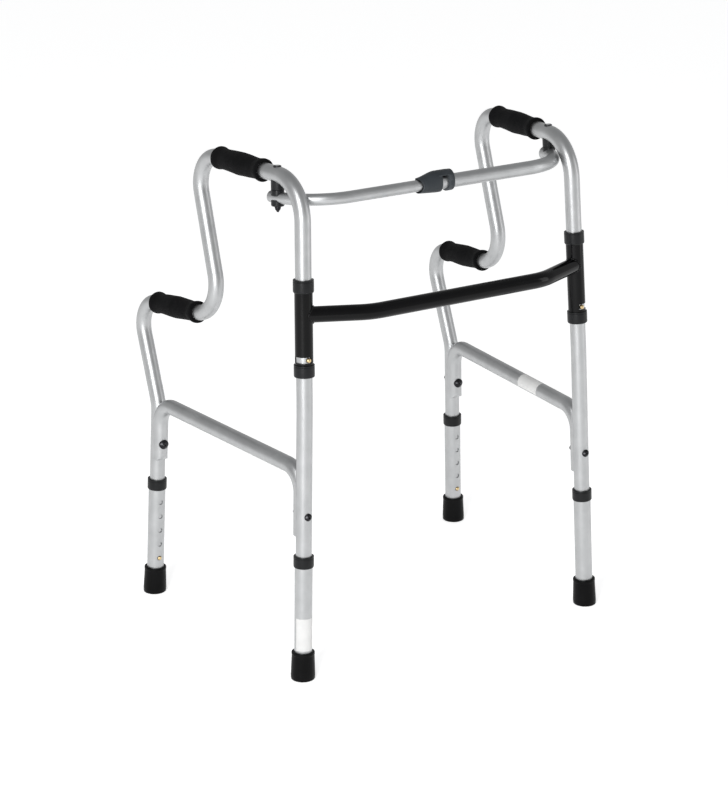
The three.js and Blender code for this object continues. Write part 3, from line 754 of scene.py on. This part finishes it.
def brace_fasteners(prefix, side, line):
    """A through bolt and its nut; the bolt's domed socket head is cut to the tube it sits on."""
    frame = brace_bolt_frame(side, line)
    ahead, behind = brace_reach(line)
    end = behind + NUT_HEIGHT + BOLT_PAST_NUT
    top = -ahead - BOLT_HEAD_HEIGHT
    radius = BOLT_HEAD_R[line]
    skirt = -ahead + TUBE_R - math.sqrt(TUBE_R**2 - radius**2)
    bolt = rounded(
        [
            (0, top + 0.3, 0),
            (radius * 0.5, top, 0.5),
            (radius * 0.62, top + 0.5, 0.3),
            (radius, top + 2.6, 0.8),
            (radius, skirt, 0),
            (BOLT_R, skirt, 0),
            (BOLT_R, end, 0.6),
            (0, end, 0),
        ],
        closed=False,
    )
    socket = prism(hexagon(SOCKET_R), frame, top - 1, top + SOCKET_DEPTH)
    axis = leg_up(side, line)
    middle = leg_point(side, line, BRACE_BOLT_Z) + frame[:3, 2] * (TUBE_R - ahead)
    tube = rod(TUBE_R + TOUCH, middle - axis * 2 * TUBE_R, middle + axis * 2 * TUBE_R)
    shank_ends = apply(frame, [vec(0, 0, -ahead - 1), vec(0, 0, end)])
    body = f"{prefix}_side_frame"
    name = f"{prefix}_{line}_brace_bolt"
    made = new_object("piece", lathe(bolt, frame, SMALL_SIDES, False))
    carve(made, [tube, socket])
    carve(made, [rod(BOLT_R, *shank_ends, SMALL_SIDES)], "UNION")
    made.name = f"{name}_look"
    finish_piece(made, "black_steel", body, [name])
    bore_ends = apply(frame, [vec(0, 0, behind - 5), vec(0, 0, end + 5)])
    bore = [rod(BOLT_R + TOUCH, *bore_ends, SMALL_SIDES)]
    nut = prism(hexagon(NUT_R), frame, behind, behind + NUT_HEIGHT)
    piece(f"{prefix}_{line}_brace_nut", nut, "black_steel", body, cuts=bore, bevel=0.5)


def grip(name, side, first, start, body):
    """Foam sleeve: swollen middle, thick rounded rims and a little unevenness in its skin."""
    origin = handle_point(side, first, start)
    frame = frame_at(origin, handle_point(side, first, start + 50) - origin, UP)
    heights = np.linspace(0, GRIP_PROFILE[-1][1], GRIP_STATIONS)
    radii, places = zip(*GRIP_PROFILE)
    smooth = np.interp(heights, places, radii)
    kernel = np.exp(-np.linspace(-2, 2, 2 * GRIP_BLUR + 1) ** 2)
    kernel /= kernel.sum()
    padded = np.pad(smooth, GRIP_BLUR, mode="edge")
    blurred = np.convolve(padded, kernel, "valid")
    smooth[GRIP_BLUR:-GRIP_BLUR] = blurred[GRIP_BLUR:-GRIP_BLUR]
    top = heights[-1]
    profile = [(GRIP_BORE_R + out, inset) for out, inset in GRIP_RIM]
    profile += list(zip(smooth, heights))
    profile += [(GRIP_BORE_R + out, top - inset) for out, inset in reversed(GRIP_RIM)]
    vertices, faces = lathe(profile, frame, GRIP_SIDES)
    axis = frame[:3, 2]
    for i, v in enumerate(vertices):
        arm = v - origin
        along = arm @ axis
        out = arm - along * axis
        radius = np.linalg.norm(out)
        if radius > GRIP_BORE_R + 2:
            # Waves 19 to 52 mm long, placed in the whole part so that no two grips are alike.
            waves = math.sin(0.21 * v[0] + 1.3 * side) * math.sin(0.17 * v[1])
            waves += math.sin(0.33 * v[2] + 0.12 * v[0])
            vertices[i] = v - out / radius * GRIP_DENT * (1 + waves)
    made = piece(name, (vertices, faces), "foam", body)


# ---- Leg extensions ------------------------------------------------------------------------------
def ring_outline(radius, bottom, top):
    """Outside of a moulded ring: a chamfered lower edge and a shallow groove near its top."""
    groove = radius - 0.5
    return [
        (radius - 0.7, bottom, 0.5),
        (radius, bottom + 1.6, 0.5),
        (radius, top - 3.2, 0.25),
        (groove, top - 2.8, 0.25),
        (groove, top - 2.2, 0.25),
        (radius, top - 1.8, 0.25),
        (radius, top, 0.6),
    ]


def leg_extension(prefix, side, line, outward):
    """The outer leg tube with its adjusting holes, its collar and its foot."""
    frame = leg_frame(side, line, 0)
    name = f"{prefix}_{line}"
    body = f"{name}_leg"
    stations = [(apply(frame, vec(0, 0, z)), frame[:3, 2]) for z in EXTENSION_SPAN]
    holes = []
    for i in range(HOLE_COUNT):
        z = FIRST_HOLE_Z + i * HOLE_PITCH
        ends = apply(frame, [vec(0, reach * outward, z) for reach in EXTENSION_HOLE_CUT])
        holes.append(rod(HOLE_R, *ends, SMALL_SIDES))
    tube = swept(stations, EXTENSION_R, EXTENSION_BORE_R, lip=END_LIP)
    piece(f"{name}_extension", tube, "aluminium", body, cuts=holes)
    collar(name, frame, body)
    foot(name, side, line, body)


def collar(name, frame, body):
    """Plastic ring over the top of an extension, narrowed above it to the frame tube."""
    bottom, top = COLLAR_SPAN
    seat = EXTENSION_R + TOUCH
    mouth = TUBE_R + COLLAR_GAP
    step = EXTENSION_SPAN[1] + RING_GAP
    inner = [(mouth, top, 0.4), (mouth, step, 0), (seat, step, 0)]
    outline = rounded([(seat, bottom, 0)] + ring_outline(COLLAR_R, bottom, top) + inner)
    piece(f"{name}_collar", lathe(outline, frame), "black_plastic", body)


def foot(name, side, line, body):
    """Rubber ferrule: flared, with a bead at its mouth and tread rings under its flat sole.

    Its rings are level at the floor and turn square to the leg as they rise.
    """
    outline = rounded(
        [
            (0, TREAD_DEPTH, 0),
            (5.2, TREAD_DEPTH, 0.4),
            (5.2, 0, 0.3),
            (8.6, 0, 0.3),
            (8.6, TREAD_DEPTH, 0.4),
            (12, TREAD_DEPTH, 0.4),
            (12, 0, 0.3),
            (FOOT_BOTTOM_R - 0.6, 0, 1.6),
            (FOOT_BOTTOM_R - 0.2, 7, 3),
            (FOOT_TOP_R - 0.3, FOOT_TOP - 5, 0.8),
            (FOOT_TOP_R + 0.1, FOOT_TOP - 4.2, 0.4),
            (FOOT_TOP_R, FOOT_TOP, 1.4),
            (EXTENSION_R + TOUCH, FOOT_TOP, 0.8),
            (EXTENSION_R + TOUCH, FOOT_FLOOR, 0),
            (0, FOOT_FLOOR, 0),
        ],
        closed=False,
    )
    up = leg_up(side, line)
    around = circle(SIDES)
    rings = []
    for radius, height in outline:
        share = min(1, max(0, height / FOOT_FLOOR))
        local = frame_at(leg_point(side, line, height * up[2]), UP + (up - UP) * share)
        if radius == 0:
            rings.append(apply(local, [vec(0, 0, 0)]))
        else:
            rings.append(apply(local, np.column_stack([around * radius, np.zeros(SIDES)])))
    piece(f"{name}_foot", join_rings(rings, False), "rubber", body)


def snap_button(name, frame, body, span=BUTTON_SPAN):
    low, high = span
    base = [(0, low), (BUTTON_R - 0.3, low), (BUTTON_R, low + 0.3)]
    profile = base + dome(BUTTON_R, high - BUTTON_DOME, BUTTON_DOME) + [(0, high)]
    piece(name, lathe(profile, frame, SMALL_SIDES, False), "brass", body)


def label(name, frame, radius, span, sweep, body):
    """A blank paper sticker on a tube along the frame's Z; sweep is in degrees from local X."""
    low, high = span
    start, end = (math.radians(angle) for angle in sweep)
    angles = np.linspace(start, end, LABEL_STEPS)
    under, face = (radius + height for height in LABEL_LAYER)
    section = [(under, angle) for angle in angles] + [(face, angle) for angle in angles[::-1]]
    rings = []
    for z in (low, low + LABEL_EDGE, high - LABEL_EDGE, high):
        ring = [vec(r * math.cos(angle), r * math.sin(angle), z) for r, angle in section]
        rings.append(apply(frame, ring))
    made = new_object(name, join_rings(rings, False))
    made.data.materials.append(PAPER)
    made.data.shade_smooth()
    made.data.set_sharp_from_angle(angle=SHARP_ANGLE)
    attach(made, body)


def labels():
    leg = leg_frame(-1, "front", 0)
    label("left_front_label", leg, EXTENSION_R, *LEG_LABEL, "left_front_leg")
    front, rear = brace_corners(1)
    run = frame_at(rear, front - rear, UP)
    label("right_brace_label", run, TUBE_R, *BRACE_LABEL, "right_side_frame")


# ---- H bar ---------------------------------------------------------------------------------------
def sleeve_ring(span, is_cap):
    """Outline of a ring on a sleeve's end: a cap closes over its top, a cup under its bottom."""
    bottom, top = span
    lip = SLEEVE_BORE_R
    seat = SLEEVE_R + TOUCH
    if is_cap:
        step = SLEEVE_SPAN[1] + RING_GAP
        inner = [(lip, top, 0.4), (lip, step, 0), (seat, step, 0), (seat, bottom, 0.3)]
    else:
        step = SLEEVE_SPAN[0] - RING_GAP
        inner = [(seat, top, 0.3), (seat, step, 0), (lip, step, 0), (lip, bottom, 0.4)]
    return rounded(ring_outline(SLEEVE_RING_R, bottom, top) + inner)


def sleeve(prefix, side):
    """The black sleeve that turns on a front leg, its button slot, and its cap and cup."""
    up = leg_up(side, "upper")
    frame = leg_frame(side, "upper", 0)
    along = 1 / up[2]  # turns a height above the floor into a length up the leaning leg
    stations = [(leg_point(side, "upper", z), up) for z in SLEEVE_SPAN]
    start, end = (math.radians(angle) for angle in SLOT_SWEEP)
    wedge = [(0, 0)]
    for angle in np.linspace(start, end, SLOT_STEPS):
        wedge.append((side * FAR_REACH * math.sin(angle), -FAR_REACH * math.cos(angle)))
    middle = SLOT_Z * along
    slot_cut = prism(wedge, frame, middle - SLOT_HALF_HEIGHT, middle + SLOT_HALF_HEIGHT)
    body = "cross_frame"
    tube = swept(stations, SLEEVE_R, SLEEVE_BORE_R, lip=END_LIP)
    piece(f"{prefix}_sleeve", tube, "black_paint", body, cuts=[slot_cut])
    for part, span, is_cap in (("cap", SLEEVE_CAP_SPAN, True), ("cup", SLEEVE_CUP_SPAN, False)):
        profile = [(radius, height * along) for radius, height in sleeve_ring(span, is_cap)]
        piece(f"{prefix}_sleeve_{part}", lathe(profile, frame), "black_plastic", body)


def crossbar_corners():
    end_x, end_y = CROSSBAR_END
    row = [(-end_x, end_y, 0), (-CROSSBAR_CORNER_X, CROSSBAR_Y, CROSSBAR_BEND_R)]
    row += [(-x, y, radius) for x, y, radius in reversed(row)]
    return [(vec(x, y - MIDDLE_Y, CROSSBAR_Z), radius) for x, y, radius in row]


def crossbar():
    sleeves = []
    for side in (-1, 1):
        ends = [leg_point(side, "upper", z) for z in SLEEVE_CUT_Z]
        sleeves.append(rod(SLEEVE_R + TOUCH, *ends))
    shape = swept(bent_path(crossbar_corners()), TUBE_R, TUBE_BORE_R)
    piece("lower_crossbar", shape, "black_paint", "cross_frame", cuts=sleeves)


def weld(prefix, side):
    """The bead where the crossbar meets a sleeve, along the line where the two tubes cross."""
    corners = crossbar_corners()
    end, inner = (corners[0][0], corners[1][0]) if side < 0 else (corners[3][0], corners[2][0])
    axis = unit(end - inner)
    x = unit(np.cross(UP, axis))
    y = np.cross(axis, x)
    base, up = leg_point(side, "upper", CROSSBAR_Z), leg_up(side, "upper")
    ring = []
    for angle in np.linspace(0, 2 * math.pi, WELD_STEPS, endpoint=False):
        start = inner + TUBE_R * (math.cos(angle) * x + math.sin(angle) * y)
        arm = start - base
        a = axis - (axis @ up) * up
        b = arm - (arm @ up) * up
        square = max(0.0, (a @ b) ** 2 - (a @ a) * (b @ b - SLEEVE_R**2))
        ring.append(start + axis * (-(a @ b) - math.sqrt(square)) / (a @ a))
    rings = []
    around = circle(WELD_SIDES)
    centre = sum(ring) / len(ring)
    for i, point in enumerate(ring):
        tangent = unit(ring[(i + 1) % len(ring)] - ring[i - 1])
        out = point - centre
        out = unit(out - (out @ tangent) * tangent)
        swell = WELD_R * (1 + WELD_RIPPLE * math.sin(i * 2 * math.pi / WELD_RIPPLE_STEPS))
        section = around[:, :1] * swell * out + around[:, 1:] * swell * np.cross(tangent, out)
        rings.append(point + section)
    made = new_object(f"{prefix}_crossbar_weld", join_rings(rings, True))
    finish_piece(made, "black_paint", "cross_frame")


# ---- Upper bar -----------------------------------------------------------------------------------
def bar_half(prefix, side, radius, bore, end_x):
    """One tube of the upper bar and the two spacers that turn with it on the pivot bolt."""
    body = f"{prefix}_bar_half"
    frame = pivot_frame(side)
    lock_ends = [BAR_AXIS + vec(LOCK_BUTTON_X, 0, height) for height in LOCK_HOLE_CUT]
    bolt_ends = apply(frame, [vec(0, 0, -CUT_REACH), vec(0, 0, CUT_REACH)])
    holes = [
        rod(BAR_BOLT_HOLE_R, *bolt_ends, SMALL_SIDES),
        rod(LOCK_HOLE_R, *lock_ends, SMALL_SIDES),
    ]
    tube = swept(bent_path(bar_corners(side, end_x)), radius, bore)
    piece(f"{prefix}_bar_tube", tube, "aluminium", body, cuts=holes)

    saddle = [swept(bent_path(bar_corners(side, 0)), radius + TOUCH)]
    bottom = SPACER_BOTTOM - PIVOT[1]
    upper = rounded(
        [
            (SPACER_HOLE_R, SADDLE_EDGE, 0),
            (SPACER_R, SADDLE_EDGE, 0),
            (SPACER_R, SPACER_SPLIT, 0.5),
            (SPACER_HOLE_R, SPACER_SPLIT, 0),
        ]
    )
    piece(f"{prefix}_upper_spacer", lathe(upper, frame), "black_plastic", body, cuts=saddle)
    lower = rounded(
        [
            (SPACER_HOLE_R, bottom, 0),
            (SPACER_R - 0.9, bottom, 0.5),
            (SPACER_R, bottom + 1.4, 0.5),
            (SPACER_R, -SADDLE_EDGE, 0),
            (SPACER_HOLE_R, -SADDLE_EDGE, 0),
        ]
    )
    piece(f"{prefix}_lower_spacer", lathe(lower, frame), "black_plastic", body, cuts=saddle)
    handle_seat(prefix, side)


def handle_seat(prefix, side):
    """The moulded seat between the upper spacer and the handle, cut to the handle's tube."""
    frame = pivot_frame(side)
    bottom = SPACER_SPLIT + SEAT_GAP
    seat = rounded(
        [
            (SPACER_HOLE_R, bottom, 0),
            (SPACER_R, bottom, 0.5),
            (SPACER_R, SEAT_TOP, 0),
            (SPACER_HOLE_R, SEAT_TOP, 0),
        ]
    )
    handle = swept(bent_path(side_corners(side)[HANDLE_CORNERS]), TUBE_R + TOUCH)
    made = new_object(f"{prefix}_handle_seat", lathe(seat, frame))
    carve(made, [handle])
    drop_high(made, frame, SEAT_LIMIT)
    finish_piece(made, "black_plastic", f"{prefix}_side_frame")


def drop_high(made, frame, limit):
    """Deletes each separate part of a mesh whose middle is above a height in the frame."""
    work = bmesh.new()
    work.from_mesh(made.data)
    inverse = np.linalg.inv(frame)
    islands, left = [], set(work.verts)
    while left:
        island, queue = [], [left.pop()]
        while queue:
            vertex = queue.pop()
            island.append(vertex)
            for edge in vertex.link_edges:
                other = edge.other_vert(vertex)
                if other in left:
                    left.remove(other)
                    queue.append(other)
        islands.append(island)
    for island in islands:
        middle = np.mean([np.array(v.co) / MM for v in island], axis=0)
        if apply(inverse, middle)[2] > limit:
            bmesh.ops.delete(work, geom=island, context="VERTS")
    work.to_mesh(made.data)
    work.free()


def pivot_fasteners(prefix, side):
    """The pivot bolt, the bright crown in its hollow head, and its nut."""
    frame = pivot_frame(side)
    under = PIVOT_HEAD_Z - PIVOT[1] - PIVOT_HEAD_SINK
    tip = PIVOT_TIP_Z - PIVOT[1]
    body = f"{prefix}_side_frame"
    bolt = rounded(
        [
            (0, tip, 0),
            (BOLT_R * 0.5, tip, 0.3),
            (BOLT_R, tip + 2.6, 0.3),
            (BOLT_R, under - 1.4, 0),
            (PIVOT_HEAD_R, under - 1.4, 0),
            (PIVOT_HEAD_R, under + 1.3, 0.6),
            (PIVOT_HEAD_R - 1.5, under + 2.2, 0.4),
            (PIVOT_HEAD_R - 2.0, under + 1.0, 0.2),
            (0, under + 1.0, 0),
        ],
        closed=False,
    )
    shape = lathe(bolt, frame, PIVOT_SIDES, False)
    piece(f"{prefix}_pivot_bolt", shape, "black_steel", body)
    base = under + 1.0 + TOUCH
    crown = [(0, base)] + dome(CROWN_R, base, CROWN_RISE) + [(0, base + CROWN_RISE)]
    made = new_object(f"{prefix}_pivot_bolt_crown", lathe(crown, frame, PIVOT_SIDES, False))
    finish_piece(made, "spring_steel", body)
    low, high = (z - PIVOT[1] for z in PIVOT_NUT_SPAN)
    tip_r, nut_r = PIVOT_NUT_R
    nut = rounded(
        [
            (BOLT_R + TOUCH, low, 0),
            (tip_r, low, 0.5),
            (nut_r, low + 3.6, 0.5),
            (nut_r, high, 0.3),
            (BOLT_R + TOUCH, high, 0),
        ]
    )
    piece(f"{prefix}_pivot_nut", lathe(nut, frame, PIVOT_SIDES), "black_steel", body)


def cover_body(spans):
    """A skin over rings of (x, radius, lift) along the bar; lift makes the upper half taller."""
    rings = []
    for x, radius, lift in spans:
        angles = 2 * math.pi * np.arange(COVER_SIDES) / COVER_SIDES
        height = np.sin(angles)
        rise = radius * height + lift * np.maximum(0, height) ** 0.8
        wide = radius * np.sign(np.cos(angles)) * np.abs(np.cos(angles)) ** 0.92
        along = np.full(COVER_SIDES, x)
        rings.append(np.stack([along, BAR_AXIS[1] + wide, BAR_AXIS[2] + rise], 1))
    return join_rings(rings, False)


def lock_cover():
    """One moulding over the telescope's mouth: cone, open window, ring, and a bridge above."""
    start, end = COVER_SPAN
    window_start, window_end = COVER_WINDOW
    cone_end = window_start - COVER_CONE_GAP
    rise = BRIDGE_TOP - COVER_R
    spans = [(start, COVER_MOUTH_R - 0.3, 0), (start + 0.4, COVER_MOUTH_R, 0.1)]
    for share in np.linspace(0.05, 1, COVER_CONE_STEPS):
        x = start + share * (cone_end - start)
        smooth = share * share * (3 - 2 * share)
        radius = COVER_MOUTH_R + (COVER_R - COVER_MOUTH_R) * share
        spans.append((x, radius, 0.1 + (rise - 0.1) * smooth))
    spans += [(window_start, COVER_R, rise), (window_end, COVER_R, rise)]
    spans.append((end - 6, COVER_R, rise - 0.4))
    for angle in np.linspace(0, math.pi / 2, 8):
        drop = COVER_ROUND * (1 - math.cos(angle))
        x = end - COVER_ROUND + COVER_ROUND * math.sin(angle)
        spans.append((x, COVER_R - drop, rise - 0.5 - 0.4 * drop))
    made = new_object("lock_cover_look", cover_body(spans))
    flat = frame_at(BAR_AXIS, ALONG_X, UP)
    scoop_x = start - COVER_SCOOP_OUT
    scoop_ends = [BAR_AXIS + vec(scoop_x, reach, 0) for reach in (-FAR_REACH, FAR_REACH)]
    window_top = THICK_R + COVER_WINDOW_RISE
    bore_ends = [BAR_AXIS + vec(start - 5, 0, 0), BAR_AXIS + vec(end + 5, 0, 0)]
    well_ends = [BAR_AXIS + vec(LOCK_BUTTON_X, 0, z) for z in (0, BRIDGE_TOP - BRIDGE_SKIN)]
    cuts = [
        rod(COVER_SCOOP_R, *scoop_ends),
        box(flat, (-FAR_REACH, -FAR_REACH, window_start), (FAR_REACH, window_top, window_end)),
        rod(THICK_R + TOUCH, *bore_ends),
        rod(COVER_WELL_R, *well_ends),
    ]
    carve(made, cuts)
    soften(made, 0.5)
    finish_piece(made, "charcoal_plastic", "right_bar_half", ["lock_cover"])


def lock_button():
    frame = frame_at(BAR_AXIS + vec(LOCK_BUTTON_X, 0, 0), UP, ALONG_X)
    snap_button("lock_button", frame, "lock_button", LOCK_BUTTON_SPAN)


# ---- Assembly ------------------------------------------------------------------------------------
crossbar()
for prefix, side in (("left", -1), ("right", 1)):
    body = f"{prefix}_side_frame"
    buttons = {
        "front_leg": button_frame(side, "front", FIRST_HOLE_Z * leg_up(side, "front")[2], 1),
        "rear_leg": button_frame(side, "rear", FIRST_HOLE_Z * leg_up(side, "rear")[2], -1),
        "sleeve": button_frame(side, "upper", SLOT_Z, -1),
    }
    frame_tube(prefix, side, buttons.values())
    brace(prefix, side)
    for line, outward in (("front", 1), ("rear", -1)):
        brace_fasteners(prefix, side, line)
        leg_extension(prefix, side, line, outward)
    grip(f"{prefix}_upper_grip", side, 2, UPPER_GRIP_START, body)
    grip(f"{prefix}_lower_grip", side, 4, LOWER_GRIP_START, body)
    for place, button in buttons.items():
        snap_button(f"{prefix}_{place}_button", button, f"{prefix}_{place}_button")
    sleeve(prefix, side)
    weld(prefix, side)
    pivot_fasteners(prefix, side)
bar_half("left", -1, THIN_R, THIN_BORE_R, THIN_END_X)
bar_half("right", 1, THICK_R, THICK_BORE_R, THICK_END_X)
lock_cover()
lock_button()
labels()

record_slots = {row["node"]: row["material_slot"] for row in frame["record"]["subparts"]}
for node, made in frame["nodes"].items():
    if not made.hide_render:
        made.data.materials.clear()
        made.data.materials.append(MATERIALS[record_slots[node]])
        made.data.set_sharp_from_angle(angle=SHARP_ANGLE)


# ---- Studio --------------------------------------------------------------------------------------
def studio_floor():
    """A pale floor that glows a little, so that it stays near white under soft light."""
    mesh = bpy.data.meshes.new("floor")
    far = FLOOR_REACH
    corners = [(-far, -far, 0), (far, -far, 0), (far, far, 0), (-far, far, 0)]
    mesh.from_pydata(corners, [], [(0, 1, 2, 3)])
    floor = bpy.data.objects.new("floor", mesh)
    bpy.context.scene.collection.objects.link(floor)
    floor.location.z = -FLOOR_GAP
    pale = bpy.data.materials.new("pale_floor")
    pale.use_nodes = True
    shader = pale.node_tree.nodes["Principled BSDF"]
    shader.inputs["Base Color"].default_value = (0.86, 0.86, 0.86, 1)
    shader.inputs["Roughness"].default_value = 0.9
    shader.inputs["Specular IOR Level"].default_value = 0.1
    shader.inputs["Emission Color"].default_value = (1, 1, 1, 1)
    shader.inputs["Emission Strength"].default_value = FLOOR_GLOW
    mesh.materials.append(pale)


def softbox(name, place, size, power):
    light = bpy.data.lights.new(name, "AREA")
    light.shape = "RECTANGLE"
    light.size, light.size_y = size
    light.energy = power
    made = bpy.data.objects.new(name, light)
    made.location = place
    made.rotation_mode = "QUATERNION"
    made.rotation_quaternion = (Vector(SOFTBOX_AIM) - Vector(place)).to_track_quat("-Z", "Y")
    bpy.context.scene.collection.objects.link(made)


def studio_world():
    """Light from all round, bright at eye level and duller overhead, as in a studio."""
    world = bpy.data.worlds.new("studio")
    bpy.context.scene.world = world
    world.use_nodes = True
    tree = world.node_tree
    direction = tree.nodes.new("ShaderNodeTexCoord").outputs["Generated"]
    split = tree.nodes.new("ShaderNodeSeparateXYZ")
    tree.links.new(direction, split.inputs["Vector"])
    shade = ramp(tree, split.outputs["Z"], WORLD_LOW, WORLD_HIGH, 0.15, 0.85)
    background = tree.nodes["Background"]
    tree.links.new(shade, background.inputs["Color"])
    background.inputs["Strength"].default_value = WORLD_STRENGTH


def studio_camera():
    yaw, pitch = math.radians(CAMERA_YAW), math.radians(CAMERA_PITCH)
    level = math.cos(pitch)
    forward = Vector((-math.sin(yaw) * level, math.cos(yaw) * level, -math.sin(pitch)))
    camera_data = bpy.data.cameras.new("camera")
    camera_data.lens = CAMERA_LENS
    camera_data.clip_start, camera_data.clip_end = 0.1, 100
    camera = bpy.data.objects.new("camera", camera_data)
    camera.location = CAMERA_PLACE
    camera.rotation_mode = "QUATERNION"
    camera.rotation_quaternion = forward.to_track_quat("-Z", "Y")
    bpy.context.scene.collection.objects.link(camera)
    bpy.context.scene.camera = camera


studio_floor()
studio_world()
softbox("key", (-2.8, -2.4, 2.0), (1.0, 3.4), 115)
softbox("fill", (2.6, -2.2, 1.1), (0.9, 2.4), 12)
studio_camera()
bpy.context.scene.view_settings.view_transform = "Standard"
bpy.context.scene.view_settings.look = "None"

bpy.context.view_layer.update()
